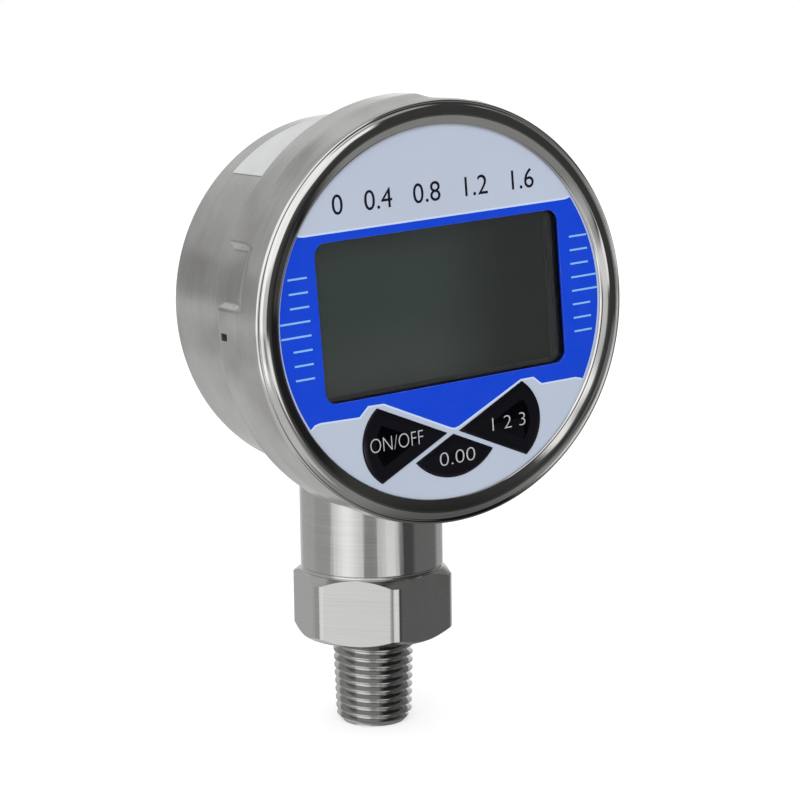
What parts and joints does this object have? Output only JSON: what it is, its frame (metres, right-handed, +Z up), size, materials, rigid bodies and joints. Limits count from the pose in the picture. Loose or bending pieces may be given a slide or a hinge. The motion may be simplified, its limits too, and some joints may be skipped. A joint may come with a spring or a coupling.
{
  "type": "digital pressure gauge",
  "caption": "Round digital pressure gauge with a bayonet bezel, a printed face with a display window and keys, a hex neck and a tapered bottom thread.",
  "frame": {"origin": "on the thread's axis, at the underside of the hex", "axes": "+Z up along the neck to the dial, -Y out of the dial's face, +X to the dial's right"},
  "size_m": [0.0684, 0.039, 0.1063],
  "materials": {
    "case_steel": "matt drawn sheet",
    "bezel_steel": "polished roll, matt skirt",
    "turned_steel": "fine turned lines",
    "screw_steel": "bright",
    "brass": "turned",
    "seal_rubber": "matt",
    "strip_rubber": "matt",
    "face_film": "printed film",
    "key_plastic": "gloss",
    "black_plastic": "fine matt",
    "ivory_plastic": "fine matt",
    "board_laminate": "solder mask",
    "cell_can": "printed sleeve",
    "red_lead": "insulation",
    "label_film": "bare label",
    "window_glass": "clear",
    "display_glass": "grey display, switched off"
  },
  "bodies": {
    "gauge": {"rear_case": "case_steel", "bezel_gasket": "seal_rubber", "case_seal": "seal_rubber", "face_overlay": "face_film", "window_lens": "window_glass", "front_housing": "black_plastic", "switch_bodies": "black_plastic", "lcd_glass": "display_glass", "lcd_frame": "black_plastic", "backlight_panel": "ivory_plastic", "elastomer_strips": "strip_rubber", "main_board": "board_laminate", "board_components": "black_plastic", "board_screws": "screw_steel", "lead_connector": "ivory_plastic", "battery_holder": "black_plastic", "battery_cells": "cell_can", "battery_contacts": "screw_steel", "battery_leads": "red_lead", "sensor_capsule": "turned_steel", "sensor_oring": "seal_rubber", "sensor_retainer": "brass", "sensor_leads": "red_lead", "process_socket": "turned_steel", "side_label": "label_film"},
    "bezel": {"bezel_ring": "bezel_steel"},
    "key_on_off": {"key_on_off": "key_plastic", "plunger_on_off": "ivory_plastic"},
    "key_zero": {"key_zero": "key_plastic", "plunger_zero": "ivory_plastic"},
    "key_unit": {"key_unit": "key_plastic", "plunger_unit": "ivory_plastic"}
  },
  "joints": [
    {"name": "bezel_twist", "type": "hinge", "parent": "gauge", "child": "bezel", "pos_m": [0, 0, 0.0567], "axis": [0, -1, 0], "range_deg": [0, 24]},
    {"name": "press_on_off", "type": "slide", "parent": "gauge", "child": "key_on_off", "axis": [0, 1, 0], "range_m": [0, 0.0004], "stiffness_N_per_m": 4000},
    {"name": "press_zero", "type": "slide", "parent": "gauge", "child": "key_zero", "axis": [0, 1, 0], "range_m": [0, 0.0004], "stiffness_N_per_m": 4000},
    {"name": "press_unit", "type": "slide", "parent": "gauge", "child": "key_unit", "axis": [0, 1, 0], "range_m": [0, 0.0004], "stiffness_N_per_m": 4000}
  ]
}
